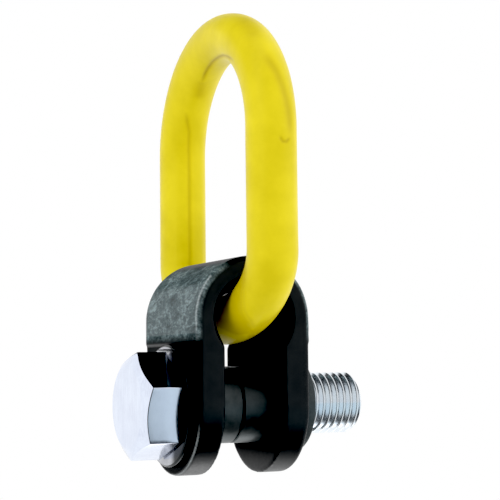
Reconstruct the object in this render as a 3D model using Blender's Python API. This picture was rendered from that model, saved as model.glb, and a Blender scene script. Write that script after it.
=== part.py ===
"""Side-pull swivel hoist ring for an M20 tapped hole.

The origin is on the bolt axis, in the plane of the face that is bolted against the load.
+X points into the load, +Z points from the bolt to the lifting ring, Y runs across.
All lengths are in metres.
"""
import math

import bmesh
import bpy
from mathutils import Matrix, Vector

MM = 0.001

# Bolt: M20 hexagon head screw
THREAD_DIAMETER = 20.0 * MM
HEAD_ACROSS_FLATS = 30.0 * MM
HEAD_HEIGHT = 12.8 * MM
HEAD_TURN = math.radians(40.0)
HEAD_TOP_DIAMETER = 25.8 * MM
HEAD_CHAMFER = math.radians(30.0)
WASHER_FACE_DIAMETER = 28.2 * MM
WASHER_FACE_HEIGHT = 0.5 * MM
BOLT_REACH = 20.8 * MM
BOLT_END_CHAMFER = 1.7 * MM

# Yoke: forged inverted U with a bore through both cheeks
YOKE_WIDTH = 38.0 * MM
GAP_WIDTH = 20.5 * MM
CHEEK_RADIUS = 22.0 * MM
FORGED_ALLOWANCE = 0.7 * MM
MILLED_TOP = 19.5 * MM
ARCH_CENTRE = 27.0 * MM
EDGE_RADIUS = 2.0 * MM
CHEEK_CHAMFER = 0.8 * MM

# Lifting ring: oblong link bent from round bar
BAR_DIAMETER = 15.9 * MM
RING_HALF_WIDTH = 34.8 * MM
LOWER_BEND_DEPTH = 20.3 * MM
RING_STRAIGHT = 37.2 * MM
RING_PIVOT_HEIGHT = 27.2 * MM
RING_CLEARANCE = 0.3 * MM

# Sleeves, washer and retaining ring, all turned about the bolt axis
SLEEVE_DIAMETER = 24.6 * MM
SLEEVE_BORE = 20.6 * MM
SLEEVE_SEAM = 0.6 * MM
LOAD_FLANGE_DIAMETER = 31.0 * MM
LOAD_FLANGE_THICKNESS = 5.4 * MM
RECESS_DIAMETER = 23.6 * MM
RECESS_DEPTH = 2.0 * MM
WASHER_DIAMETER = 38.5 * MM
WASHER_BORE = 21.0 * MM
WASHER_THICKNESS = 2.0 * MM
RETAINER_DIAMETER = 22.8 * MM
RETAINER_BORE = 18.9 * MM
RETAINER_THICKNESS = 1.2 * MM
RETAINER_SPLIT = math.radians(24.0)
GROOVE_DIAMETER = 18.4 * MM

# Working gaps between neighbours
RUNNING_GAP = 0.2 * MM
SIDE_GAP = 0.25 * MM

# Places along the bolt axis, from the load face back to the head
LOAD_FACE = 0.0
FLANGE_BACK = LOAD_FACE - LOAD_FLANGE_THICKNESS
YOKE_CENTRE = FLANGE_BACK - SIDE_GAP - YOKE_WIDTH / 2
WASHER_FRONT = YOKE_CENTRE - YOKE_WIDTH / 2 - SIDE_GAP
WASHER_BACK = WASHER_FRONT - WASHER_THICKNESS
HEAD_BEARING = WASHER_BACK - RUNNING_GAP
HEAD_TOP = HEAD_BEARING - HEAD_HEIGHT
BOLT_END = LOAD_FACE + BOLT_REACH
RETAINER_BACK = LOAD_FACE - RECESS_DEPTH + 0.3 * MM

ROUND_STEPS = 48
ARC_STEPS = 24


def clear_scene():
    for old in list(bpy.data.objects):
        bpy.data.objects.remove(old, do_unlink=True)


def material(name, colour, roughness, metallic):
    made = bpy.data.materials.new(name)
    made.use_nodes = True
    shader = made.node_tree.nodes["Principled BSDF"]
    shader.inputs["Base Color"].default_value = (*colour, 1.0)
    shader.inputs["Roughness"].default_value = roughness
    shader.inputs["Metallic"].default_value = metallic
    return made


def pivot(name, place, parent=None):
    """An empty on a joint's axis; place is in world coordinates."""
    empty = bpy.data.objects.new(name, None)
    bpy.context.collection.objects.link(empty)
    empty.parent = parent
    origin = Vector((0.0, 0.0, 0.0)) if parent is None else world_place(parent)
    empty.location = Vector(place) - origin
    return empty


def world_place(empty):
    place = Vector(empty.location)
    while empty.parent is not None:
        empty = empty.parent
        place += Vector(empty.location)
    return place


def object_from(name, mesh_data, parent=None, finish=None):
    """Link a bmesh as a named object whose coordinates are world ones, under a pivot."""
    bmesh.ops.recalc_face_normals(mesh_data, faces=mesh_data.faces)
    if parent is not None:
        bmesh.ops.translate(mesh_data, verts=mesh_data.verts, vec=-world_place(parent))
    mesh = bpy.data.meshes.new(name)
    mesh_data.to_mesh(mesh)
    mesh_data.free()
    mesh.shade_smooth()
    mesh.set_sharp_from_angle(angle=math.radians(30.0))
    made = bpy.data.objects.new(name, mesh)
    bpy.context.collection.objects.link(made)
    made.parent = parent
    if finish is not None:
        mesh.materials.append(finish)
    return made


def hide_cutter(cutter):
    cutter.hide_render = True
    cutter.display_type = 'WIRE'


def boolean(target, other, operation):
    step = target.modifiers.new(operation.lower(), 'BOOLEAN')
    step.operation = operation
    step.object = other
    step.solver = 'EXACT'
    hide_cutter(other)


def turned(profile, steps=ROUND_STEPS):
    """Spin a closed profile of (x, radius) points about the X axis."""
    data = bmesh.new()
    points = [data.verts.new((x, 0.0, radius)) for x, radius in profile]
    count = len(points)
    edges = [data.edges.new((points[i], points[(i + 1) % count])) for i in range(count)
             if profile[i][1] > 0 or profile[(i + 1) % count][1] > 0]
    bmesh.ops.spin(data, geom=points + edges, cent=(0, 0, 0), axis=(1, 0, 0),
                   angle=2 * math.pi, steps=steps, use_merge=True)
    bmesh.ops.remove_doubles(data, verts=data.verts, dist=1e-7)
    return data


def loft(loops):
    """Bridge a row of equal closed loops and cap both ends."""
    data = bmesh.new()
    rows = [[data.verts.new(point) for point in loop] for loop in loops]
    count = len(rows[0])
    for near, far in zip(rows, rows[1:]):
        for i in range(count):
            j = (i + 1) % count
            data.faces.new((near[i], near[j], far[j], far[i]))
    data.faces.new(rows[0])
    data.faces.new(rows[-1])
    return data


def box(low, high):
    data = bmesh.new()
    bmesh.ops.create_cube(data, size=1.0)
    size = Vector(high) - Vector(low)
    middle = (Vector(high) + Vector(low)) / 2
    bmesh.ops.scale(data, verts=data.verts, vec=size)
    bmesh.ops.translate(data, verts=data.verts, vec=middle)
    return data


def rounding(radius, half_length, steps):
    """Pairs of (place, inset) that round both ends of an extrusion."""
    near = []
    for i in range(steps + 1):
        turn = math.pi / 2 * i / steps
        place = half_length - radius * (1 - math.sin(turn))
        near.append((place, radius * (1 - math.cos(turn))))
    return [(-place, inset) for place, inset in reversed(near)] + near


def arch_outline(inset, steps=ARC_STEPS):
    """(x, z) of the yoke's outside seen along Y: straight sides under a half circle."""
    radius = YOKE_WIDTH / 2 + FORGED_ALLOWANCE - inset
    foot = -CHEEK_RADIUS * 1.2
    turns = [math.pi * i / steps for i in range(steps + 1)]
    arc = [(radius * math.cos(t), ARCH_CENTRE + radius * math.sin(t)) for t in turns]
    return [(radius, foot)] + arc + [(-radius, foot)]


def cheek_outline(inset, steps=ARC_STEPS):
    """(y, z) of the yoke's outside seen along X: a half circle at the foot, straight sides above."""
    radius = CHEEK_RADIUS - inset
    top = ARCH_CENTRE + YOKE_WIDTH
    turns = [math.pi * i / steps for i in range(steps + 1)]
    arc = [(-radius * math.cos(t), -radius * math.sin(t)) for t in turns]
    return [(-radius, top)] + arc + [(radius, top)]


def bar_rise(y):
    """How far the bar's centre line in the lower bend has risen at y."""
    return LOWER_BEND_DEPTH * (1 - math.sqrt(1 - (y / RING_HALF_WIDTH) ** 2))


def eye_radius(y):
    """Radius about the ring's pivot axis that the lower bend sweeps at y, with its clearance."""
    lean = abs(y) / RING_HALF_WIDTH
    slope = LOWER_BEND_DEPTH / RING_HALF_WIDTH * lean / math.sqrt(1 - lean ** 2)
    return bar_rise(y) + BAR_DIAMETER / 2 * math.sqrt(1 + slope ** 2) + RING_CLEARANCE


def eye_cutter(parent):
    """The waisted hole that the ring's lower bend turns in, spun about the pivot axis."""
    steps = 16
    reach = CHEEK_RADIUS + 1.0 * MM
    places = [reach * (2 * i / steps - 1) for i in range(steps + 1)]
    profile = [(-reach, 0.0)] + [(y, eye_radius(y)) for y in places] + [(reach, 0.0)]
    data = turned(profile)
    data.transform(Matrix.Rotation(math.pi / 2, 4, 'Z'))
    bmesh.ops.translate(data, verts=data.verts, vec=(YOKE_CENTRE, 0, RING_PIVOT_HEIGHT))
    return object_from("eye_cutter", data, parent)


def make_yoke(parent, finish):
    across = rounding(EDGE_RADIUS, CHEEK_RADIUS, 4)
    loops = [[(YOKE_CENTRE + x, y, z) for x, z in arch_outline(inset)] for y, inset in across]
    yoke = object_from("yoke_body", loft(loops), parent, finish)

    along = rounding(CHEEK_CHAMFER, YOKE_WIDTH / 2, 2)
    loops = [[(YOKE_CENTRE + x, y, z) for y, z in cheek_outline(inset)] for x, inset in along]
    loops = widened(loops)
    boolean(yoke, object_from("cheek_form", loft(loops), parent), 'INTERSECT')

    for side in (-1, 1):
        face = YOKE_CENTRE + side * YOKE_WIDTH / 2
        outside = face + side * 3 * FORGED_ALLOWANCE
        low = (min(face, outside), -2 * CHEEK_RADIUS, -2 * CHEEK_RADIUS)
        high = (max(face, outside), 2 * CHEEK_RADIUS, MILLED_TOP)
        boolean(yoke, object_from("milling_cutter", box(low, high), parent), 'DIFFERENCE')

    low = (YOKE_CENTRE - GAP_WIDTH / 2, -2 * CHEEK_RADIUS, -2 * CHEEK_RADIUS)
    high = (YOKE_CENTRE + GAP_WIDTH / 2, 2 * CHEEK_RADIUS, RING_PIVOT_HEIGHT)
    boolean(yoke, object_from("gap_cutter", box(low, high), parent), 'DIFFERENCE')
    boolean(yoke, eye_cutter(parent), 'DIFFERENCE')

    radius = SLEEVE_DIAMETER / 2 + RUNNING_GAP
    start = YOKE_CENTRE - YOKE_WIDTH
    end = YOKE_CENTRE + YOKE_WIDTH
    bore = turned([(start, 0.0), (start, radius), (end, radius), (end, 0.0)])
    boolean(yoke, object_from("bore_cutter", bore, parent), 'DIFFERENCE')


def widened(loops):
    """Carry the outline past the forged sides, so that only its edges near the cheeks are eased."""
    extra = 2 * FORGED_ALLOWANCE
    first = [(x - extra, y, z) for x, y, z in loops[0]]
    last = [(x + extra, y, z) for x, y, z in loops[-1]]
    return [first] + loops + [last]


def ring_path():
    """Centre line of the lifting ring, one closed loop in the plane x = 0."""
    low = RING_PIVOT_HEIGHT + LOWER_BEND_DEPTH
    high = low + RING_STRAIGHT
    bend_steps = 32
    leg_steps = 6
    path = []
    for i in range(bend_steps + 1):
        turn = math.pi * i / bend_steps
        path.append((-RING_HALF_WIDTH * math.cos(turn), low - LOWER_BEND_DEPTH * math.sin(turn)))
    for i in range(1, leg_steps):
        path.append((RING_HALF_WIDTH, low + RING_STRAIGHT * i / leg_steps))
    for i in range(bend_steps + 1):
        turn = math.pi * i / bend_steps
        path.append((RING_HALF_WIDTH * math.cos(turn), high + RING_HALF_WIDTH * math.sin(turn)))
    for i in range(1, leg_steps):
        path.append((-RING_HALF_WIDTH, high - RING_STRAIGHT * i / leg_steps))
    return path


def make_ring(parent, finish):
    curve = bpy.data.curves.new("lifting_ring", 'CURVE')
    curve.dimensions = '3D'
    curve.bevel_depth = BAR_DIAMETER / 2
    curve.bevel_resolution = 8
    spline = curve.splines.new('POLY')
    path = ring_path()
    spline.points.add(len(path) - 1)
    for point, (y, z) in zip(spline.points, path):
        point.co = (0.0, y, z - RING_PIVOT_HEIGHT, 1.0)
    spline.use_cyclic_u = True
    curve.materials.append(finish)
    ring = bpy.data.objects.new("lifting_ring", curve)
    bpy.context.collection.objects.link(ring)
    ring.parent = parent


def hex_prism(start, end):
    corner = HEAD_ACROSS_FLATS / math.sqrt(3)
    turns = [HEAD_TURN + math.pi / 3 * i for i in range(6)]
    loops = [[(x, corner * math.cos(t), corner * math.sin(t)) for t in turns] for x in (start, end)]
    return loft(loops)


def make_bolt(parent, finish):
    under_head = HEAD_BEARING - WASHER_FACE_HEIGHT
    head = object_from("hex_bolt", hex_prism(HEAD_TOP, under_head), parent, finish)

    top = HEAD_TOP_DIAMETER / 2
    wide = 0.6 * HEAD_ACROSS_FLATS
    cone_end = HEAD_TOP + (wide - top) * math.tan(HEAD_CHAMFER)
    outside = HEAD_TOP - 1.0 * MM
    beyond = under_head + 1.0 * MM
    cone = [(outside, 0.0), (outside, top), (HEAD_TOP, top), (cone_end, wide), (beyond, wide),
            (beyond, 0.0)]
    boolean(head, object_from("head_chamfer_form", turned(cone), parent), 'INTERSECT')

    shank = THREAD_DIAMETER / 2
    groove = GROOVE_DIAMETER / 2
    groove_start = RETAINER_BACK - 0.1 * MM
    groove_end = RETAINER_BACK + RETAINER_THICKNESS + 0.1 * MM
    face = WASHER_FACE_DIAMETER / 2
    inside = HEAD_TOP + HEAD_HEIGHT / 2
    overlap = under_head - 0.2 * MM
    profile = [(inside, 0.0), (inside, shank), (overlap, shank), (overlap, face),
               (HEAD_BEARING, face), (HEAD_BEARING, shank),
               (groove_start, shank), (groove_start, groove), (groove_end, groove), (groove_end, shank),
               (BOLT_END - BOLT_END_CHAMFER, shank), (BOLT_END, shank - BOLT_END_CHAMFER),
               (BOLT_END, 0.0)]
    boolean(head, object_from("shank_form", turned(profile), parent), 'UNION')


def make_washer(finish):
    outer = WASHER_DIAMETER / 2
    inner = WASHER_BORE / 2
    ease = 0.5 * MM
    profile = [(WASHER_BACK, inner), (WASHER_BACK, outer - ease), (WASHER_BACK + ease, outer),
               (WASHER_FRONT, outer), (WASHER_FRONT, inner)]
    object_from("washer", turned(profile), None, finish)


def make_head_side_sleeve(finish):
    outer = SLEEVE_DIAMETER / 2
    inner = SLEEVE_BORE / 2
    start = WASHER_FRONT + RUNNING_GAP
    end = YOKE_CENTRE + SLEEVE_SEAM - RUNNING_GAP / 2
    ease = 0.4 * MM
    profile = [(start, inner), (start, outer), (end - ease, outer), (end, outer - ease),
               (end, inner)]
    object_from("head_side_sleeve", turned(profile), None, finish)


def make_load_side_bushing(finish):
    sleeve = SLEEVE_DIAMETER / 2
    flange = LOAD_FLANGE_DIAMETER / 2
    inner = SLEEVE_BORE / 2
    recess = RECESS_DIAMETER / 2
    start = YOKE_CENTRE + SLEEVE_SEAM + RUNNING_GAP / 2
    ease = 0.4 * MM
    profile = [(start, inner), (start, sleeve - ease), (start + ease, sleeve), (FLANGE_BACK, sleeve),
               (FLANGE_BACK, flange - ease), (FLANGE_BACK + ease, flange), (LOAD_FACE - ease, flange),
               (LOAD_FACE, flange - ease), (LOAD_FACE, recess), (LOAD_FACE - RECESS_DEPTH, recess),
               (LOAD_FACE - RECESS_DEPTH, inner)]
    object_from("load_side_flanged_bushing", turned(profile), None, finish)


def make_retaining_ring(parent, finish):
    """An open ring of square section, split at its foot."""
    outer = RETAINER_DIAMETER / 2
    inner = RETAINER_BORE / 2
    front = RETAINER_BACK + RETAINER_THICKNESS
    section = [(RETAINER_BACK, inner), (RETAINER_BACK, outer), (front, outer), (front, inner)]
    start = -math.pi / 2 + RETAINER_SPLIT / 2
    sweep = 2 * math.pi - RETAINER_SPLIT
    loops = []
    for i in range(ROUND_STEPS + 1):
        turn = start + sweep * i / ROUND_STEPS
        loops.append([(x, radius * math.cos(turn), radius * math.sin(turn)) for x, radius in section])
    object_from("bolt_retaining_ring", loft(loops), parent, finish)


def build():
    clear_scene()
    black = material("black_coating", (0.012, 0.013, 0.014), 0.45, 0.2)
    yellow = material("yellow_paint", (0.75, 0.62, 0.02), 0.3, 0.0)
    zinc = material("bright_zinc", (0.75, 0.77, 0.82), 0.25, 1.0)
    dark_steel = material("dark_steel", (0.03, 0.032, 0.036), 0.35, 0.7)
    spring_steel = material("spring_steel", (0.2, 0.2, 0.21), 0.35, 1.0)

    bolt_spin = pivot("bolt_spin", (HEAD_BEARING, 0.0, 0.0))
    yoke_swivel = pivot("yoke_swivel", (YOKE_CENTRE, 0.0, 0.0))
    ring_pivot = pivot("ring_pivot", (YOKE_CENTRE, 0.0, RING_PIVOT_HEIGHT), yoke_swivel)

    make_yoke(yoke_swivel, black)
    make_ring(ring_pivot, yellow)
    make_bolt(bolt_spin, zinc)
    make_retaining_ring(bolt_spin, spring_steel)
    make_washer(dark_steel)
    make_head_side_sleeve(dark_steel)
    make_load_side_bushing(dark_steel)


build()
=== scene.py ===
"""Looks of the side-pull swivel hoist ring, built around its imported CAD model.

Every CAD node is replaced by a finer mesh of the same size in the same place.
+X points along the bolt into the load, +Z up to the lifting ring, Y runs across. Metres.
"""
import math

import bmesh
import bpy
import numpy as np
from mathutils import Matrix, Vector, noise


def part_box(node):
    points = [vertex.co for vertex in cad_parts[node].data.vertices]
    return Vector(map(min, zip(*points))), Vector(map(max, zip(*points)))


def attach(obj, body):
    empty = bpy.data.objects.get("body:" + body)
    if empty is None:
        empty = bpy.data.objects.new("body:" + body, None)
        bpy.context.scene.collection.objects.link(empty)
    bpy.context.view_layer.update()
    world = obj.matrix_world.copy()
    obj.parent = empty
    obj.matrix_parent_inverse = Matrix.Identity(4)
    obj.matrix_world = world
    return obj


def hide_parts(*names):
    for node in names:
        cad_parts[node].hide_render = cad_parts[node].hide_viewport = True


MM = 0.001

# Camera: where it looks, from which side, and how far off it stands
CAMERA_AIM = Vector((-15.55, 0.0, 50.3)) * MM
CAMERA_AZIMUTH = math.radians(-25.6)
CAMERA_ELEVATION = math.radians(-4.9)
CAMERA_DISTANCE = 468.7 * MM
CAMERA_ROLL = math.radians(-0.66)
CAMERA_LENS = 102.8

# Stage
FLOOR_DROP = 100.0 * MM
FLOOR_HALF = 6.0
FLOOR_THICKNESS = 10.0 * MM
FLOOR_LIGHT_THICKNESS = 5.0 * MM
DOME_RADIUS = 4.8
BLACK_LEVEL = 0.03

# Cards by the bolt head that only show in reflections: name, glow, low and high corner in mm
CARDS = (
    ("black card", 0.0, (-57.3, -22.0, 17.8), (-46.2, 8.0, 18.0)),
    ("white card", 1.0, (-70.2, -25.0, -50.0), (-70.0, 75.0, 75.0)),
)

# Soft area lights that don't show in reflections: name, direction, distance and size in metres, watts
AREA_LIGHTS = (
    ("left softbox", (-0.85, -0.30, 0.55), 0.9, (0.35, 0.9), 5.0),
    ("right fill", (0.9, -0.75, 0.35), 1.2, (0.7, 1.0), 7.0),
    ("top fill", (-0.1, -0.2, 1.0), 1.0, (0.5, 0.5), 2.0),
)

# Fineness of the meshes
FINE_STEPS = 96
HEAD_STEPS = 6 * 16
SMOOTH_STEPS = 128
WASHER_STEPS = 160
RETAINER_STEPS = 120
RING_STATIONS = 640
THREAD_STEPS = 72
YOKE_VOXEL = 0.5 * MM
YOKE_SMOOTHING = 5
MERGE_DISTANCE = 1e-7

# Bends from which an edge is shaded sharp, at first, once bevelled, and on the ring and the thread
SHARP = math.radians(30.0)
SHARP_BEVELLED = math.radians(40.0)
SHARP_CURVED = math.radians(60.0)

# Bend from which an edge is bevelled
BEVEL_FROM = math.radians(20.0)

# Bolt
HEAD_ACROSS_FLATS = 30.0 * MM
HEAD_TURN = math.radians(40.0)
HEAD_TOP_RADIUS = 0.43 * HEAD_ACROSS_FLATS
HEAD_CHAMFER = math.radians(30.0)
HEAD_EDGE = 0.28 * MM
WASHER_FACE_HEIGHT = 0.5 * MM
WASHER_FACE_RADIUS = 0.47 * HEAD_ACROSS_FLATS
THREAD_PITCH = 2.5 * MM
THREAD_DEPTH = 0.58 * THREAD_PITCH
THREAD_RADIUS = 10.0 * MM
THREAD_END_CHAMFER = 1.9 * MM
THREAD_END_SLOPE = 1.05
GROOVE_RADIUS = 9.2 * MM
GROOVE_PLAY = 0.1 * MM
SHANK_INTO_HEAD = 1.0 * MM
SHANK_INTO_THREAD = 0.5 * MM

# Yoke and ring
GAP_WIDTH = 20.5 * MM
YOKE_WIDTH = 38.0 * MM
MILLED_TOP = 19.5 * MM
EDGE_RADIUS = 2.0 * MM
CHEEK_EDGE_RADIUS = 0.8 * MM
RUNNING_GAP = 0.2 * MM
RING_CLEARANCE = 0.3 * MM
SKIN_DEPTH = 0.10 * MM
LOWER_BEND_DEPTH = 20.3 * MM
BAR_WAVE = 0.06 * MM

# Turned pieces
WASHER_BORE_RADIUS = 10.5 * MM
SLEEVE_BORE_RADIUS = 10.3 * MM
FLANGE_THICKNESS = 5.4 * MM
RECESS_RADIUS = 11.8 * MM
RECESS_DEPTH = 2.0 * MM
RETAINER_BORE_RADIUS = 9.45 * MM
RETAINER_SPLIT = math.radians(24.0)
TURNED_CHAMFER = 0.4 * MM
TURNED_EDGE = 0.1 * MM
WASHER_EDGE = 0.12 * MM
WASHER_BACK_CHAMFER = 0.5 * MM
WASHER_FRONT_CHAMFER = 0.2 * MM
WASHER_RIM = 0.6 * MM
TOOL_PITCH = 0.35 * MM

# Colours, dark and light where they vary
WHITE = (1.0, 1.0, 1.0)
FLOOR_TINT = (0.84, 0.95, 1.0)
YELLOW = ((0.655, 0.545, 0.034), (0.755, 0.637, 0.042))
YELLOW_PAINTED_SHADE = (0.40, 0.28, 0.030)
YELLOW_SHINE = (1.0, 0.90, 0.25)
FORGED_GREYS = ((0.024, 0.036, 0.039), (0.084, 0.116, 0.122), (0.23, 0.30, 0.31))
SMOOTH_BLACK = ((0.0060, 0.0070, 0.0080), (0.0110, 0.0125, 0.0135))
PAINTED_HIGHLIGHT_GREY = (0.50, 0.55, 0.56)
HEAD_ZINC = ((0.72, 0.77, 0.90), (0.80, 0.86, 0.98))
# The thread's zinc is the bolt's plating painted lighter: painted light
THREAD_ZINC_LIT = ((0.83, 0.89, 0.96), (0.92, 0.97, 1.0))
SLEEVE_STEEL = ((0.065, 0.074, 0.076), (0.11, 0.122, 0.125))
WASHER_STEEL = ((0.40, 0.41, 0.44), (0.52, 0.53, 0.56))
SPRING_STEEL = ((0.16, 0.16, 0.17), (0.28, 0.28, 0.30))
WASHER_PAINTED_SHADE = (0.03, 0.033, 0.035)

# Lines on the ring, pressed in slightly and coloured darker as painted shade: half width and depth in mm,
# then points along the mark, each the distance past the ring's top towards -Y in mm and the angle round the
# bar in degrees
RING_MARKS = (
    (0.55, 0.40, ((29, 192), (24, 206), (19, 218), (12, 232), (4, 243), (-6, 251), (-13, 255), (-19, 259))),
    (1.80, 0.13, ((-20, 260), (-26, 266))),
    (1.50, 0.17, ((35, 110), (41, 90), (46, 80), (51, 72), (58, 66))),
    (0.50, 0.22, ((58.6, 97), (60, 90), (60, 80), (58.8, 70))),
    (0.60, 0.17, ((-36, 246), (-44, 261), (-60, 265), (-92, 263))),
    (3.00, 0.10, ((18, 104), (26, 112))),
    (0.80, 0.09, ((98, 180), (105, 168), (110, 142), (112, 118), (115, 98), (112, 88), (109, 76))),
)

# The depth in mm from which a mark is darkest, and how far it then turns from yellow to the painted shade
# colour
MARK_FULL_DEPTH = 0.30
MARK_SHADE_SHARE = 0.75

# Painted shade in the lower bend: degrees round the bar and mm past the ring's top where it begins,
# then over how many mm it darkens, and how dark it gets compared with a mark
LOWER_BEND_SHADE = ((0, 106), (60, 107), (76, 109), (88, 112), (98, 115), (118, 112), (142, 110),
              (168, 105), (180, 98), (200, 94), (260, 94), (300, 100), (360, 106))
LOWER_BEND_SHADE_FADE = 1.6
LOWER_BEND_SHADE_SHARE = 0.48


# ---------------------------------------------------------------- the frame's measures

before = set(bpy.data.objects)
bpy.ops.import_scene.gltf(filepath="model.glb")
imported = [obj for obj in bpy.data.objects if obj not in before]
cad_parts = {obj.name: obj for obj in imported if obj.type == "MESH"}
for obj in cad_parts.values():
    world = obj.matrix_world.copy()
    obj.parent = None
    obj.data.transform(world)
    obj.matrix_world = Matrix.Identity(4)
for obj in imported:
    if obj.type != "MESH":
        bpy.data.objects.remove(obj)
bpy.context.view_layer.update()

yoke_low, yoke_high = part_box("yoke_body")
ring_low, ring_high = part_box("lifting_ring")
bolt_low, bolt_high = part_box("hex_bolt")
washer_low, washer_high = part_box("washer")
sleeve_low, sleeve_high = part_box("head_side_sleeve")
bushing_low, bushing_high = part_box("load_side_flanged_bushing")
retainer_low, retainer_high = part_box("bolt_retaining_ring")

YOKE_X = (yoke_low[0] + yoke_high[0]) / 2
FORGED_HALF = (yoke_high[0] - yoke_low[0]) / 2
CHEEK_RADIUS = yoke_high[1]
ARCH_Z = yoke_high[2] - FORGED_HALF
BAR_RADIUS = (ring_high[0] - ring_low[0]) / 2
RING_HALF = ring_high[1] - BAR_RADIUS
PIVOT_Z = ring_low[2] + BAR_RADIUS
RING_TOP = ring_high[2] - BAR_RADIUS
SLEEVE_RADIUS = sleeve_high[1]
HEAD_TOP = bolt_low[0]
HEAD_BEARING = washer_low[0] - RUNNING_GAP
BOLT_END = bolt_high[0]


# ---------------------------------------------------------------- mesh helpers

def object_from(name, data, sharp=SHARP):
    """An object of that mesh data, shaded smooth except over edges sharper than sharp."""
    bmesh.ops.recalc_face_normals(data, faces=data.faces)
    mesh = bpy.data.meshes.new(name)
    data.to_mesh(mesh)
    data.free()
    mesh.shade_smooth()
    mesh.set_sharp_from_angle(angle=sharp)
    made = bpy.data.objects.new(name, mesh)
    bpy.context.scene.collection.objects.link(made)
    return made


def apply_modifiers(piece):
    """Replace the piece's mesh by the one its modifiers make."""
    bpy.context.view_layer.update()
    graph = bpy.context.evaluated_depsgraph_get()
    mesh = bpy.data.meshes.new_from_object(piece.evaluated_get(graph))
    old = piece.data
    piece.modifiers.clear()
    piece.data = mesh
    bpy.data.meshes.remove(old)


def boolean(target, other, operation):
    """Cut target with other, which is removed."""
    step = target.modifiers.new(operation.lower(), 'BOOLEAN')
    step.operation = operation
    step.object = other
    step.solver = 'EXACT'
    apply_modifiers(target)
    bpy.data.objects.remove(other, do_unlink=True)


def bevel(piece, width, segments=2):
    """Round every edge that is not part of a smooth curve."""
    step = piece.modifiers.new("eased edges", 'BEVEL')
    step.width = width
    step.segments = segments
    step.limit_method = 'ANGLE'
    step.angle_limit = BEVEL_FROM
    apply_modifiers(piece)
    piece.data.shade_smooth()
    piece.data.set_sharp_from_angle(angle=SHARP_BEVELLED)


def turned(profile, steps=FINE_STEPS):
    """Spin a closed profile of (x, radius) points about the X axis."""
    data = bmesh.new()
    points = [data.verts.new((x, 0.0, radius)) for x, radius in profile]
    count = len(points)
    edges = [data.edges.new((points[i], points[(i + 1) % count])) for i in range(count)
             if profile[i][1] > 0 or profile[(i + 1) % count][1] > 0]
    bmesh.ops.spin(data, geom=points + edges, cent=(0, 0, 0), axis=(1, 0, 0),
                   angle=2 * math.pi, steps=steps, use_merge=True)
    bmesh.ops.remove_doubles(data, verts=data.verts, dist=MERGE_DISTANCE)
    return data


def loft(loops, closed=False):
    """Bridge a row of equal closed loops, and cap both ends unless the row is closed."""
    data = bmesh.new()
    rows = [[data.verts.new(point) for point in loop] for loop in loops]
    count = len(rows[0])
    pairs = list(zip(rows, rows[1:]))
    if closed:
        pairs.append((rows[-1], rows[0]))
    for near, far in pairs:
        for i in range(count):
            j = (i + 1) % count
            data.faces.new((near[i], near[j], far[j], far[i]))
    if not closed:
        data.faces.new(rows[0])
        data.faces.new(rows[-1])
    return data


def box(low, high):
    """A box between two corners."""
    data = bmesh.new()
    bmesh.ops.create_cube(data, size=1.0)
    bmesh.ops.scale(data, verts=data.verts, vec=Vector(high) - Vector(low))
    bmesh.ops.translate(data, verts=data.verts, vec=(Vector(high) + Vector(low)) / 2)
    return data


def rounding(radius, half_length, steps):
    """Pairs of (place, inset) that round both ends of an extrusion."""
    near = []
    for i in range(steps + 1):
        turn = math.pi / 2 * i / steps
        near.append((half_length - radius + radius * math.sin(turn), radius * (1 - math.cos(turn))))
    return [(-place, inset) for place, inset in reversed(near)] + near


# ---------------------------------------------------------------- material helpers

def set_or_link(tree, value, socket):
    """Give a socket a plain value, or link it to the output that the value comes from."""
    if hasattr(value, "links"):
        tree.links.new(value, socket)
    else:
        socket.default_value = value


def smooth_level(tree, value, start, end, first=0.0, last=1.0):
    """Goes smoothly from first to last while value goes from start to end."""
    made = tree.nodes.new("ShaderNodeMapRange")
    made.interpolation_type = 'SMOOTHSTEP'
    for name, setting in (("Value", value), ("From Min", start), ("From Max", end),
                          ("To Min", first), ("To Max", last)):
        set_or_link(tree, setting, made.inputs[name])
    return made.outputs["Result"]


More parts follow.
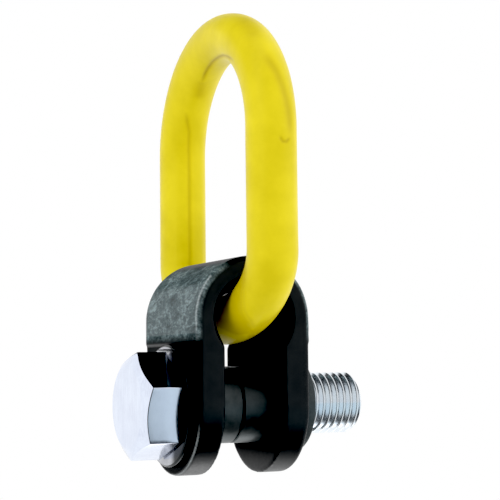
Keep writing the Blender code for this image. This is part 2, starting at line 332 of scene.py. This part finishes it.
class Shader:
    """A Principled material with short calls for its nodes and links."""

    def __init__(self, name, **values):
        self.made = bpy.data.materials.new(name)
        self.made.use_nodes = True
        self.tree = self.made.node_tree
        self.main = self.tree.nodes["Principled BSDF"]
        for socket, value in values.items():
            self.main.inputs[socket.replace("_", " ")].default_value = value
        self.place = self.node("ShaderNodeTexCoord").outputs["Object"]

    def node(self, kind, **values):
        made = self.tree.nodes.new(kind)
        for name, value in values.items():
            setattr(made, name, value)
        return made

    def link(self, source, target):
        self.tree.links.new(source, target)

    def noise(self, size, detail=4.0, rough=0.55, stretch=(1, 1, 1), distortion=0.0):
        """Noise whose cells are about size across, in metres, and stretched along each axis."""
        scaled = self.node("ShaderNodeMapping")
        scaled.inputs["Scale"].default_value = [1.0 / (size * s) for s in stretch]
        self.link(self.place, scaled.inputs["Vector"])
        made = self.node("ShaderNodeTexNoise")
        made.inputs["Scale"].default_value = 1.0
        made.inputs["Detail"].default_value = detail
        made.inputs["Roughness"].default_value = rough
        made.inputs["Distortion"].default_value = distortion
        self.link(scaled.outputs["Vector"], made.inputs["Vector"])
        return made.outputs["Fac"]

    def ramp(self, source, stops):
        """A colour ramp; stops are (place, colour) with a grey level or an RGB colour."""
        made = self.node("ShaderNodeValToRGB")
        band = made.color_ramp
        while len(band.elements) < len(stops):
            band.elements.new(0.5)
        for element, (place, colour) in zip(band.elements, stops):
            element.position = place
            element.color = (*colour, 1.0) if hasattr(colour, "__len__") else (*(colour,) * 3, 1.0)
        self.link(source, made.inputs["Fac"])
        return made.outputs["Color"]

    def mix(self, factor, first, second):
        """The colour first where factor is 0, second where it is 1."""
        made = self.node("ShaderNodeMix", data_type='RGBA')
        sockets = {socket.identifier: socket for socket in (*made.inputs, *made.outputs)}
        self.link(factor, sockets["Factor_Float"])
        for source, socket in ((first, sockets["A_Color"]), (second, sockets["B_Color"])):
            set_or_link(self.tree, source if hasattr(source, "links") else (*source, 1.0), socket)
        return sockets["Result_Color"]

    def math(self, operation, first, second=0.0):
        made = self.node("ShaderNodeMath", operation=operation)
        for source, socket in ((first, made.inputs[0]), (second, made.inputs[1])):
            set_or_link(self.tree, source, socket)
        return made.outputs["Value"]

    def level(self, value, start, end, first=0.0, last=1.0):
        return smooth_level(self.tree, value, start, end, first, last)

    def axes(self):
        """The place's X, Y and Z."""
        parts = self.node("ShaderNodeSeparateXYZ")
        self.link(self.place, parts.inputs["Vector"])
        return parts.outputs["X"], parts.outputs["Y"], parts.outputs["Z"]

    def attribute(self, name):
        made = self.node("ShaderNodeAttribute", attribute_name=name)
        return made.outputs["Fac"]

    def bump(self, height, depth, strength=1.0, before=None):
        """Bump of that depth in metres; before is an earlier bump that this one adds to."""
        made = self.node("ShaderNodeBump")
        made.inputs["Strength"].default_value = strength
        made.inputs["Distance"].default_value = depth
        self.link(height, made.inputs["Height"])
        if before is not None:
            self.link(before, made.inputs["Normal"])
        self.link(made.outputs["Normal"], self.main.inputs["Normal"])
        return made.outputs["Normal"]


def yellow_coat():
    """Yellow powder coat with a faint orange-peel surface, painted darker as shade in the marks and in the
    lower bend.
    """
    look = Shader("ring_yellow", Roughness=0.36, Specular_IOR_Level=0.18,
                  Specular_Tint=(*YELLOW_SHINE, 1.0))
    cloud = look.noise(16 * MM, detail=4.0)
    coat = look.ramp(cloud, [(0.35, YELLOW[0]), (0.65, YELLOW[1])])
    # Painted shade: the marks and the lower bend turn towards a darker yellow
    shade_share = look.math('MULTIPLY', look.attribute("mark"), MARK_SHADE_SHARE)
    look.link(look.mix(shade_share, coat, YELLOW_PAINTED_SHADE), look.main.inputs["Base Color"])
    peel = look.bump(look.noise(1.6 * MM, detail=2.0), 0.05 * MM, 0.5)
    look.bump(look.noise(9 * MM, detail=2.0), 0.25 * MM, 0.5, peel)
    return look.made


def black_forging():
    """Black coating: mottled grey on the forged skin, dull where machined, with a painted highlight along
    outer edges.
    """
    look = Shader("yoke_black")
    forged = look.attribute("forged")
    blotch = look.noise(3.4 * MM, detail=6.0, rough=0.72, stretch=(1.0, 2.2, 1.0), distortion=0.8)
    grain = look.noise(0.8 * MM, detail=4.0, rough=0.65, stretch=(1.0, 2.0, 1.0))
    tone = look.math('ADD', look.math('MULTIPLY', blotch, 0.6), look.math('MULTIPLY', grain, 0.4))
    skin = look.ramp(tone, list(zip((0.38, 0.50, 0.62), FORGED_GREYS)))
    smooth = look.ramp(look.noise(7 * MM, detail=3.0), list(zip((0.3, 0.7), SMOOTH_BLACK)))
    coat = look.mix(forged, smooth, skin)
    # Painted highlight: lighter grey along the outer edges
    highlight = look.math('MULTIPLY', look.attribute("painted_highlight"), look.ramp(grain, [(0.3, 0.4), (0.6, 1.0)]))
    look.link(look.mix(highlight, coat, PAINTED_HIGHLIGHT_GREY), look.main.inputs["Base Color"])
    rough = look.mix(forged, look.ramp(grain, [(0.3, 0.30), (0.7, 0.40)]),
                     look.ramp(grain, [(0.3, 0.45), (0.7, 0.65)]))
    look.link(rough, look.main.inputs["Roughness"])
    shine = look.ramp(look.attribute("dull"), [(0.0, 0.45), (1.0, 0.03)])
    look.link(shine, look.main.inputs["Specular IOR Level"])
    first = look.bump(look.noise(0.9 * MM, detail=3.0), 0.02 * MM, 0.3)
    look.bump(look.math('MULTIPLY', tone, forged), 0.5 * MM, 0.8, first)
    return look.made


def zinc_plate(name, dark, light):
    """Bright zinc, brushed across the flats."""
    look = Shader(name, Metallic=1.0)
    brush = look.noise(0.4 * MM, detail=3.0, stretch=(1.0, 1.0, 30.0))
    cloud = look.noise(6 * MM, detail=3.0)
    tone = look.math('MULTIPLY', look.math('ADD', brush, cloud), 0.5)
    look.link(look.ramp(tone, [(0.35, dark), (0.62, light)]), look.main.inputs["Base Color"])
    look.link(look.ramp(brush, [(0.3, 0.12), (0.7, 0.22)]), look.main.inputs["Roughness"])
    look.bump(brush, 0.008 * MM, 0.25)
    return look.made


def turned_steel(name, dark, light, roughness, rim=None):
    """Turned steel with fine rings left by the tool around the bolt axis.

    With a rim it is painted dark as shade beyond that radius and over its front half.
    """
    look = Shader(name, Metallic=0.85)
    x, y, z = look.axes()
    radius = look.math('SQRT', look.math('ADD', look.math('POWER', y, 2.0), look.math('POWER', z, 2.0)))
    cloud = look.noise(4 * MM, detail=4.0)
    rough = look.ramp(cloud, [(0.3, roughness), (0.7, roughness + 0.14)])
    look.link(rough, look.main.inputs["Roughness"])
    colour = look.ramp(cloud, [(0.3, dark), (0.7, light)])
    if rim is not None:
        # Painted shade on the washer: dark outside the rim radius and on its front half
        colour = look.mix(look.math('GREATER_THAN', radius, rim), colour, WASHER_PAINTED_SHADE)
        painted_shade = look.level(y, -0.20 * washer_high[1], -0.42 * washer_high[1])
        colour = look.mix(painted_shade, colour, WASHER_PAINTED_SHADE)
    look.link(colour, look.main.inputs["Base Color"])
    turn = look.math('MULTIPLY', look.math('ADD', radius, x), 2 * math.pi / TOOL_PITCH)
    look.bump(look.math('SINE', turn), 0.006 * MM, 0.5)
    return look.made


def dress(piece, look, body, node):
    piece.data.materials.clear()
    piece.data.materials.append(look)
    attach(piece, body)
    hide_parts(node)


# ---------------------------------------------------------------- yoke

def bar_rise(y):
    """How far the centre line of the ring's lower bend has risen at y."""
    return LOWER_BEND_DEPTH * (1 - math.sqrt(1 - (y / RING_HALF) ** 2))


def eye_radius(y):
    """Radius about the ring's pivot axis that the lower bend sweeps at y, with its clearance."""
    lean = abs(y) / RING_HALF
    slope = LOWER_BEND_DEPTH / RING_HALF * lean / math.sqrt(1 - lean ** 2)
    return bar_rise(y) + BAR_RADIUS * math.sqrt(1 + slope ** 2) + RING_CLEARANCE


def arch_outline(inset, steps=48):
    """The forging's (x, z) outline: straight sides under a half circle, drawn in by inset."""
    radius = FORGED_HALF - inset
    foot = -CHEEK_RADIUS * 1.2
    arc = [(radius * math.cos(math.pi * i / steps), ARCH_Z + radius * math.sin(math.pi * i / steps))
           for i in range(steps + 1)]
    return [(radius, foot)] + arc + [(-radius, foot)]


def cheek_outline(inset, steps=64):
    """The cheeks' (y, z) outline: a half circle under straight sides, drawn in by inset."""
    radius = CHEEK_RADIUS - inset
    top = ARCH_Z + YOKE_WIDTH
    arc = [(-radius * math.cos(math.pi * i / steps), -radius * math.sin(math.pi * i / steps))
           for i in range(steps + 1)]
    return [(-radius, top)] + arc + [(radius, top)]


def eye_cutter():
    """The room that the ring's lower bend needs as it turns about its pivot axis."""
    steps = 40
    reach = CHEEK_RADIUS + 1.0 * MM
    places = [reach * (2 * i / steps - 1) for i in range(steps + 1)]
    data = turned([(-reach, 0.0)] + [(y, eye_radius(y)) for y in places] + [(reach, 0.0)])
    data.transform(Matrix.Rotation(math.pi / 2, 4, 'Z'))
    bmesh.ops.translate(data, verts=data.verts, vec=(YOKE_X, 0, PIVOT_Z))
    return object_from("eye cutter", data)


def yoke_blank():
    """The arch outline and the cheek outline crossed, before anything is cut out."""
    across = rounding(EDGE_RADIUS, CHEEK_RADIUS, 6)
    loops = [[(YOKE_X + x, y, z) for x, z in arch_outline(inset)] for y, inset in across]
    yoke = object_from("yoke_fine", loft(loops))
    extra = 2 * MM
    along = rounding(CHEEK_EDGE_RADIUS, YOKE_WIDTH / 2, 3)
    along = [(along[0][0] - extra, along[0][1])] + along + [(along[-1][0] + extra, along[-1][1])]
    loops = [[(YOKE_X + x, y, z) for y, z in cheek_outline(inset)] for x, inset in along]
    boolean(yoke, object_from("cheek form", loft(loops)), 'INTERSECT')
    return yoke


def cut_yoke(yoke):
    """Mill the flats, then cut the gap, the eye and the bore."""
    far = 2 * CHEEK_RADIUS
    for side in (-1, 1):
        face = YOKE_X + side * YOKE_WIDTH / 2
        outside = face + side * 3 * MM
        low = (min(face, outside), -far, -far)
        high = (max(face, outside), far, MILLED_TOP)
        boolean(yoke, object_from("milling cutter", box(low, high)), 'DIFFERENCE')
    low = (YOKE_X - GAP_WIDTH / 2, -far, -far)
    high = (YOKE_X + GAP_WIDTH / 2, far, PIVOT_Z)
    boolean(yoke, object_from("gap cutter", box(low, high)), 'DIFFERENCE')
    boolean(yoke, eye_cutter(), 'DIFFERENCE')
    radius = SLEEVE_RADIUS + RUNNING_GAP
    bore = [(YOKE_X - YOKE_WIDTH, 0.0), (YOKE_X - YOKE_WIDTH, radius),
            (YOKE_X + YOKE_WIDTH, radius), (YOKE_X + YOKE_WIDTH, 0.0)]
    boolean(yoke, object_from("bore cutter", turned(bore)), 'DIFFERENCE')


def soften(piece, voxel, rounds):
    """Remesh evenly and smooth, which rounds the edges as forging and blasting do."""
    step = piece.modifiers.new("even mesh", 'REMESH')
    step.mode = 'VOXEL'
    step.voxel_size = voxel
    step.use_smooth_shade = True
    apply_modifiers(piece)
    step = piece.modifiers.new("rounded edges", 'SMOOTH')
    step.factor = 0.5
    step.iterations = rounds
    apply_modifiers(piece)


def ease(value, start, end):
    """0 at start, 1 at end, smooth between."""
    share = min(1.0, max(0.0, (value - start) / (end - start)))
    return share * share * (3 - 2 * share)


def forged_share(place):
    """1 on the grey forged skin outside the arch, 0 on milled faces, in the gap, along the back edge and
    over the top of the arch.
    """
    outward = abs(place.x - YOKE_X) / FORGED_HALF
    over = max(0.0, (place.z - ARCH_Z) / FORGED_HALF)
    skin = ease(math.hypot(outward, over), 0.90, 0.95)
    climb = math.degrees(math.atan2(over, outward))
    back = ease(CHEEK_RADIUS - place.y, 0.6 * MM, 2.4 * MM)
    # Just above the milled flats the skin fades to black over 3 mm: painted shade
    return skin * back * ease(place.z, MILLED_TOP + 0.2 * MM, MILLED_TOP + 3 * MM) * ease(climb, 66.0, 54.0)


def painted_highlight_share(place, normal):
    """Painted highlight: 1 along the front and back edges of the arch and along the low outside rims of the
    cheeks, weaker on the +X side, away from the left softbox.
    """
    outward = abs(place.x - YOKE_X)
    if outward < GAP_WIDTH / 2 + 4 * MM:
        return 0.0
    arch = max(0.0, 1 - abs(abs(normal.y) - 0.40) / 0.28)
    arch *= ease(place.z, MILLED_TOP + 1 * MM, MILLED_TOP + 7 * MM)
    rim = max(0.0, 1 - abs(abs(normal.x) - 0.60) / 0.25)
    rim *= ease(place.z, -4 * MM, -11 * MM)
    side = 1.0 if place.x < YOKE_X else 0.3
    return side * (0.8 * arch + 0.7 * rim)


def dull_share(place, normal):
    """1 on the machined faces: the milled flats, the gap and the eye, except low down in the gap."""
    outward = abs(place.x - YOKE_X)
    if place.z < MILLED_TOP + 3 * MM and outward > 18 * MM:
        return ease(abs(normal.x), 0.85, 0.97)
    reach = math.hypot(place.y, min(place.z, 0.0))
    faces_in = ease(-normal.x * math.copysign(1.0, place.x - YOKE_X), 0.2, 0.5)
    within = ease(reach, 21.6 * MM, 20.6 * MM) * ease(outward, 18 * MM, 16 * MM)
    return max(faces_in, within) * ease(place.z, -24 * MM, -14 * MM)


def read_vectors(items, name):
    """A vector property of every item, as an array with three columns."""
    values = np.empty(3 * len(items), np.float32)
    items.foreach_get(name, values)
    return values.reshape(-1, 3)


def weather(piece):
    """Dent the forged skin, and note the shares of skin, painted highlight and machining that the material
    reads.
    """
    mesh = piece.data
    places = read_vectors(mesh.vertices, "co")
    normals = read_vectors(mesh.vertices, "normal")
    shares = {"forged": [], "painted_highlight": [], "dull": []}
    for i in range(len(places)):
        place = Vector(places[i])
        normal = Vector(normals[i])
        skin = forged_share(place)
        shares["forged"].append(skin)
        shares["painted_highlight"].append(painted_highlight_share(place, normal))
        shares["dull"].append(dull_share(place, normal))
        if skin > 0:
            dent = 1.0 + noise.noise(place / (6 * MM)) + 0.5 * noise.noise(place / (2.5 * MM))
            places[i] -= normals[i] * (SKIN_DEPTH * skin * dent)
    mesh.vertices.foreach_set("co", places.ravel())
    for name, values in shares.items():
        mesh.attributes.new(name, 'FLOAT', 'POINT').data.foreach_set("value", values)
    mesh.update()


def make_yoke():
    yoke = yoke_blank()
    cut_yoke(yoke)
    soften(yoke, YOKE_VOXEL, YOKE_SMOOTHING)
    weather(yoke)
    yoke.data.shade_smooth()
    dress(yoke, black_forging(), "yoke", "yoke_body")


# ---------------------------------------------------------------- lifting ring

def ring_line(count):
    """Points, evenly spaced, along the ring's centre line in the plane x = 0, and its length."""
    low = PIVOT_Z + LOWER_BEND_DEPTH
    high = RING_TOP - RING_HALF
    turns = np.linspace(0.0, 2 * math.pi, 1441)
    y = RING_HALF * np.cos(turns)
    upper = turns <= math.pi
    z = np.where(upper, high + RING_HALF * np.sin(turns), low + LOWER_BEND_DEPTH * np.sin(turns))
    reached = np.concatenate([[0.0], np.cumsum(np.hypot(np.diff(y), np.diff(z)))])
    goals = reached[-1] * np.arange(count) / count
    return np.stack([np.interp(goals, reached, y), np.interp(goals, reached, z)], axis=1), reached[-1]


def mark_profile(past_top, around, points):
    """Distance from each place on the bar's skin to a line of points, and its share along the line."""
    nearest = np.full(np.broadcast(past_top, around).shape, np.inf)
    share = np.zeros_like(nearest)
    spots = [(s * MM, math.radians(turn) * BAR_RADIUS) for s, turn in points]
    for i, ((s0, a0), (s1, a1)) in enumerate(zip(spots, spots[1:])):
        ds, da = s1 - s0, a1 - a0
        t = np.clip(((past_top - s0) * ds + (around - a0) * da) / (ds * ds + da * da), 0.0, 1.0)
        gap = np.hypot(past_top - s0 - t * ds, around - a0 - t * da)
        closer = gap < nearest
        nearest = np.where(closer, gap, nearest)
        share = np.where(closer, (i + t) / (len(spots) - 1), share)
    return nearest, share


def ring_marks(past_top, around):
    """How far each place is painted dark as shade, 0 to 1, and how deep it is pressed in."""
    marked = np.zeros(np.broadcast(past_top, around).shape)
    pressed = np.zeros_like(marked)
    for half_width, depth, points in RING_MARKS:
        gap, share = mark_profile(past_top, around, points)
        taper = np.clip(6 * np.minimum(share, 1 - share) + 0.25, 0.0, 1.0) if len(points) > 2 else 1.0
        strength = np.exp(-(gap / (half_width * MM)) ** 2) * taper
        marked = np.maximum(marked, strength * min(1.0, depth / MARK_FULL_DEPTH))
        pressed = np.maximum(pressed, strength * depth * MM)
    turns, starts = np.array(LOWER_BEND_SHADE).T
    beyond = np.abs(past_top) / MM - np.interp(np.degrees(around / BAR_RADIUS), turns, starts)
    painted_shade = np.clip(beyond / LOWER_BEND_SHADE_FADE, 0.0, 1.0)
    return np.maximum(marked, LOWER_BEND_SHADE_SHARE * painted_shade * painted_shade * (3 - 2 * painted_shade)), pressed


def make_ring():
    """The bent bar, slightly uneven and pressed in at its marks."""
    line, length = ring_line(RING_STATIONS)
    along = np.roll(line, -1, axis=0) - np.roll(line, 1, axis=0)
    along /= np.linalg.norm(along, axis=1)[:, None]
    turns = 2 * math.pi * np.arange(FINE_STEPS) / FINE_STEPS
    past_top = (length * np.arange(RING_STATIONS) / RING_STATIONS - math.pi / 2 * RING_HALF)[:, None]
    past_top = np.where(past_top > length / 2, past_top - length, past_top)
    marked, pressed = ring_marks(past_top, (turns * BAR_RADIUS)[None, :])
    loops = []
    for i in range(RING_STATIONS):
        centre = Vector((YOKE_X, *line[i]))
        across = Vector((0.0, along[i][1], -along[i][0]))
        loop = []
        for j, turn in enumerate(turns):
            out = Vector((math.cos(turn), 0.0, 0.0)) + across * math.sin(turn)
            place = centre + out * BAR_RADIUS
            sink = BAR_WAVE * (1.0 - noise.noise(place / (14 * MM)))
            loop.append(place - out * (sink + pressed[i][j]))
        loops.append(loop)
    ring = object_from("ring_fine", loft(loops, closed=True), SHARP_CURVED)
    # The mark attribute holds the painted shade of the marks and of the lower bend
    ring.data.attributes.new("mark", 'FLOAT', 'POINT').data.foreach_set("value", marked.ravel())
    # Keeps yellow out of the reflections in the bolt and the yoke
    ring.visible_glossy = False
    dress(ring, yellow_coat(), "ring", "lifting_ring")


# ---------------------------------------------------------------- bolt

def hex_radius(turn):
    """Distance from the axis to the hexagon's side in the direction turn."""
    sixth = math.pi / 3
    off_corner = (turn - HEAD_TURN) % sixth
    return HEAD_ACROSS_FLATS / 2 / math.cos(off_corner - sixth / 2)


def make_head():
    """Hexagon head with its chamfered top, one ring of points for each edge of its shape."""
    slope = math.tan(HEAD_CHAMFER)
    under = HEAD_BEARING - WASHER_FACE_HEIGHT
    turns = [HEAD_TURN + 2 * math.pi * i / HEAD_STEPS for i in range(HEAD_STEPS)]

    def around(place, radius):
        return [(place(t), radius(t) * math.cos(t), radius(t) * math.sin(t)) for t in turns]

    loops = [around(lambda t: HEAD_TOP, lambda t: 0.5 * HEAD_TOP_RADIUS),
             around(lambda t: HEAD_TOP, lambda t: HEAD_TOP_RADIUS),
             around(lambda t: HEAD_TOP + (hex_radius(t) - HEAD_TOP_RADIUS) * slope, hex_radius),
             around(lambda t: under, hex_radius),
             around(lambda t: under, lambda t: WASHER_FACE_RADIUS),
             around(lambda t: HEAD_BEARING, lambda t: WASHER_FACE_RADIUS - 0.3 * MM),
             around(lambda t: HEAD_BEARING, lambda t: 0.4 * HEAD_ACROSS_FLATS)]
    head = object_from("bolt_fine", loft(loops))
    bevel(head, HEAD_EDGE, 3)
    return head


def thread_profile():
    """One pitch of a rolled thread as (share of the pitch, depth share): crest, flank, root, flank."""
    flank = [(0.0, 0.0), (0.08, 0.0), (0.10, 0.01), (0.12, 0.04), (0.14, 0.10), (0.165, 0.174),
             (0.28, 0.518), (0.39, 0.848), (0.42, 0.93), (0.44, 0.97), (0.47, 1.0)]
    return flank + [(1.0 - share, sink) for share, sink in reversed(flank[1:])]


def thread_surface(start, end):
    """A helical surface between two places on the axis, chamfered at its end, closed at both."""
    steps = THREAD_STEPS
    chamfer_start = end - THREAD_END_CHAMFER
    profile = thread_profile()
    turns = int((end - start) / THREAD_PITCH) + 2
    data = bmesh.new()
    rows = []
    for i in range(turns * steps + 1):
        turn = 2 * math.pi * i / steps
        base = start + THREAD_PITCH * (i / steps - 1.0)
        row = []
        for share, sink in profile:
            x = min(max(base + share * THREAD_PITCH, start), end)
            reach = THREAD_RADIUS - THREAD_DEPTH * sink
            reach = min(reach, THREAD_RADIUS - THREAD_END_SLOPE * max(0.0, x - chamfer_start))
            if x <= start:
                reach = GROOVE_RADIUS
            if x >= end:
                reach = THREAD_RADIUS - THREAD_END_SLOPE * THREAD_END_CHAMFER
            row.append(data.verts.new((x, reach * math.cos(turn), -reach * math.sin(turn))))
        rows.append(row)
    for i in range(len(rows) - 1):
        for j in range(len(profile) - 1):
            data.faces.new((rows[i][j], rows[i + 1][j], rows[i + 1][j + 1], rows[i][j + 1]))
        if i + 1 + steps < len(rows):
            data.faces.new((rows[i][-1], rows[i + 1][-1], rows[i + 1 + steps][0], rows[i + steps][0]))
    bmesh.ops.remove_doubles(data, verts=data.verts, dist=MERGE_DISTANCE)
    bmesh.ops.dissolve_degenerate(data, edges=data.edges, dist=MERGE_DISTANCE)
    rims = [edge for edge in data.edges if edge.is_boundary]
    bmesh.ops.contextual_create(data, geom=rims)
    bmesh.ops.holes_fill(data, edges=[edge for edge in data.edges if edge.is_boundary], sides=0)
    return object_from("bolt_thread_fine", data, SHARP_CURVED)


def make_shank():
    """The plain shank, from inside the head to inside the thread, with the retaining ring's groove."""
    start = HEAD_BEARING - SHANK_INTO_HEAD
    groove = retainer_low[0] - GROOVE_PLAY
    end = retainer_high[0] + GROOVE_PLAY + SHANK_INTO_THREAD
    profile = [(start, 0.0), (start, THREAD_RADIUS), (groove, THREAD_RADIUS), (groove, GROOVE_RADIUS),
               (end, GROOVE_RADIUS), (end, 0.0)]
    return object_from("bolt_shank_fine", turned(profile))


def make_bolt():
    """The head stands for the CAD bolt; the shank and the thread ride along with it."""
    head = make_head()
    dress(head, zinc_plate("bolt_zinc", *HEAD_ZINC), "bolt", "hex_bolt")
    # A lighter copy of the bolt's zinc for the thread, as painted light
    look = zinc_plate("thread_zinc_lit", *THREAD_ZINC_LIT)
    thread = thread_surface(retainer_high[0] + GROOVE_PLAY, BOLT_END)
    for piece in (make_shank(), thread):
        piece.data.materials.append(look)
        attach(piece, "bolt")


# ---------------------------------------------------------------- turned pieces

def make_washer(look):
    inner = WASHER_BORE_RADIUS
    outer = washer_high[1]
    back = washer_low[0]
    front = washer_high[0]
    profile = [(back, inner), (back, outer - WASHER_BACK_CHAMFER), (back + WASHER_BACK_CHAMFER, outer),
               (front - WASHER_FRONT_CHAMFER, outer), (front, outer - WASHER_FRONT_CHAMFER), (front, inner)]
    washer = object_from("washer_fine", turned(profile, WASHER_STEPS))
    bevel(washer, WASHER_EDGE)
    dress(washer, look, "clamped_stack", "washer")


def make_sleeve(look):
    inner = SLEEVE_BORE_RADIUS
    start = sleeve_low[0]
    end = sleeve_high[0]
    profile = [(start, inner), (start, SLEEVE_RADIUS), (end - TURNED_CHAMFER, SLEEVE_RADIUS),
               (end, SLEEVE_RADIUS - TURNED_CHAMFER), (end, inner)]
    sleeve = object_from("head_side_sleeve_fine", turned(profile, SMOOTH_STEPS))
    bevel(sleeve, TURNED_EDGE)
    dress(sleeve, look, "clamped_stack", "head_side_sleeve")


def make_bushing(look):
    """A sleeve with a flange, whose face is recessed around the bolt."""
    inner = SLEEVE_BORE_RADIUS
    flange = bushing_high[1]
    chamfer = TURNED_CHAMFER
    start = bushing_low[0]
    face = bushing_high[0]
    back = face - FLANGE_THICKNESS
    recess_floor = face - RECESS_DEPTH
    profile = [(start, inner), (start, SLEEVE_RADIUS - chamfer), (start + chamfer, SLEEVE_RADIUS),
               (back, SLEEVE_RADIUS), (back, flange - chamfer), (back + chamfer, flange),
               (face - chamfer, flange), (face, flange - chamfer), (face, RECESS_RADIUS),
               (recess_floor, RECESS_RADIUS), (recess_floor, inner)]
    bushing = object_from("load_side_bushing_fine", turned(profile, SMOOTH_STEPS))
    bevel(bushing, TURNED_EDGE)
    dress(bushing, look, "clamped_stack", "load_side_flanged_bushing")


def make_retainer(look):
    """An open ring, split at its foot."""
    inner = RETAINER_BORE_RADIUS
    outer = retainer_high[1]
    back = retainer_low[0]
    front = retainer_high[0]
    section = [(back, inner), (back, outer), (front, outer), (front, inner)]
    first = (RETAINER_SPLIT - math.pi) / 2
    sweep = 2 * math.pi - RETAINER_SPLIT
    loops = []
    for i in range(RETAINER_STEPS + 1):
        turn = first + sweep * i / RETAINER_STEPS
        loops.append([(x, radius * math.cos(turn), radius * math.sin(turn)) for x, radius in section])
    ring = object_from("retaining_ring_fine", loft(loops))
    bevel(ring, TURNED_EDGE)
    dress(ring, look, "bolt", "bolt_retaining_ring")


# ---------------------------------------------------------------- camera, floor and light

def make_camera():
    level = math.cos(CAMERA_ELEVATION)
    toward = Vector((-math.sin(CAMERA_AZIMUTH) * level, math.cos(CAMERA_AZIMUTH) * level,
                     -math.sin(CAMERA_ELEVATION)))
    data = bpy.data.cameras.new("camera")
    data.sensor_width = 36.0
    data.lens = CAMERA_LENS
    data.clip_start = 0.01
    camera = bpy.data.objects.new("camera", data)
    camera.location = CAMERA_AIM - toward * CAMERA_DISTANCE
    turn = toward.to_track_quat('-Z', 'Y').to_matrix().to_4x4() @ Matrix.Rotation(CAMERA_ROLL, 4, 'Z')
    camera.rotation_euler = turn.to_euler()
    bpy.context.scene.collection.objects.link(camera)
    bpy.context.scene.camera = camera


def glow(name, strength=1.0):
    """A black material that glows white."""
    return Shader(name, Base_Color=(0.0, 0.0, 0.0, 1.0), Roughness=1.0, Specular_IOR_Level=0.0,
                  Emission_Color=(*WHITE, 1.0), Emission_Strength=strength)


def floor_plate(thickness):
    """A wide plate whose top is where the floor is."""
    top = yoke_low[2] - FLOOR_DROP
    return box((-FLOOR_HALF, -FLOOR_HALF, top - thickness), (FLOOR_HALF, FLOOR_HALF, top))


def reflect_only(name, data, look):
    """Make a card that shows in reflections only: unseen by the camera, it neither lights nor shades."""
    card = object_from(name, data)
    card.data.materials.append(look.made)
    card.visible_camera = False
    card.visible_diffuse = False
    card.visible_shadow = False


def make_floor():
    """A white floor, and a white dome that only the camera sees; neither shows in reflections."""
    look = glow("white backdrop")
    dome = bmesh.new()
    bmesh.ops.create_icosphere(dome, subdivisions=4, radius=DOME_RADIUS)
    for name, data, lights in (("floor", floor_plate(FLOOR_THICKNESS), True),
                               ("backdrop dome", dome, False)):
        made = object_from(name, data)
        made.data.materials.append(look.made)
        made.visible_glossy = False
        made.visible_shadow = False
        made.visible_diffuse = lights


def make_floor_light():
    """What shows in reflections below: dark in front of the part and white behind it, brightest
    just behind; farther in front bluish white, but dark on the left; light grey on the right."""
    look = glow("floor light")
    x, y, _ = look.axes()
    pool = look.math('MULTIPLY', look.level(x, -0.04, 0.0, 0.0, 1.6), look.level(x, 0.03, 0.045, 1.0, 0.0))
    pool = look.math('MULTIPLY', pool, look.level(y, 0.06, 0.11, 1.0, 0.0))
    close = look.math('MULTIPLY', look.level(y, -0.03, 0.05, 0.05, 1.0), look.math('ADD', pool, 1.0))
    far = look.math('MULTIPLY', look.level(y, -0.27, -0.17, 1.0, 0.0),
                    look.level(x, -0.12, 0.04, 0.03, 0.71))
    right = look.level(x, 0.055, 0.085, 0.0, 0.8)
    strength = look.math('MAXIMUM', close, look.math('MAXIMUM', far, right))
    look.link(strength, look.main.inputs["Emission Strength"])
    tint = look.mix(look.level(y, -0.12, -0.09, 1.0, 0.0), WHITE, FLOOR_TINT)
    look.link(tint, look.main.inputs["Emission Color"])
    reflect_only("floor light", floor_plate(FLOOR_LIGHT_THICKNESS), look)


def make_cards():
    """The black card keeps the head's upper flat dark, the white one keeps its end and chamfer bright."""
    for name, strength, low, high in CARDS:
        reflect_only(name, box(Vector(low) * MM, Vector(high) * MM), glow(name, strength))


def make_world():
    """A white room, dark at the front left and overhead except towards the right."""
    world = bpy.data.worlds.new("studio")
    bpy.context.scene.world = world
    world.use_nodes = True
    tree = world.node_tree
    place = tree.nodes.new("ShaderNodeTexCoord")
    parts = tree.nodes.new("ShaderNodeSeparateXYZ")
    tree.links.new(place.outputs["Generated"], parts.inputs["Vector"])
    x, y, z = (parts.outputs[axis] for axis in "XYZ")
    front = smooth_level(tree, x, -0.40, 0.20, 0.12, 0.76)
    around = smooth_level(tree, y, -0.25, 0.12, front, 1.0)
    overhead = smooth_level(tree, x, 0.26, 0.42, 0.045, 0.8)
    start = smooth_level(tree, x, -0.50, 0.20, 0.36, 0.60)
    end = smooth_level(tree, x, -0.50, 0.20, 0.46, 0.78)
    total = smooth_level(tree, z, start, end, around, overhead)
    background = tree.nodes["Background"]
    tree.links.new(total, background.inputs["Strength"])
    background.inputs["Color"].default_value = (*WHITE, 1.0)


def make_lights():
    """Softboxes around the part, all aimed at it."""
    aim = Vector((YOKE_X, 0.0, 50 * MM))
    for name, direction, distance, (width, height), power in AREA_LIGHTS:
        data = bpy.data.lights.new(name, 'AREA')
        data.shape = 'RECTANGLE'
        data.size = width
        data.size_y = height
        data.energy = power
        lamp = bpy.data.objects.new(name, data)
        lamp.location = aim + Vector(direction).normalized() * distance
        lamp.rotation_euler = (aim - lamp.location).to_track_quat('-Z', 'Y').to_euler()
        lamp.visible_glossy = False
        bpy.context.scene.collection.objects.link(lamp)


def make_camera_levels():
    """Deep blacks, as in a catalogue picture."""
    view = bpy.context.scene.view_settings
    view.view_transform = 'Standard'
    view.use_curve_mapping = True
    view.curve_mapping.black_level = (BLACK_LEVEL,) * 3
    view.curve_mapping.update()


def build():
    make_yoke()
    make_ring()
    make_bolt()
    steel = turned_steel("dark_steel", *SLEEVE_STEEL, 0.30)
    make_washer(turned_steel("washer_steel", *WASHER_STEEL, 0.12, washer_high[1] - WASHER_RIM))
    make_sleeve(steel)
    make_bushing(steel)
    make_retainer(turned_steel("spring_steel", *SPRING_STEEL, 0.3))
    make_floor()
    make_floor_light()
    make_cards()
    make_world()
    make_lights()
    make_camera()
    make_camera_levels()


build()
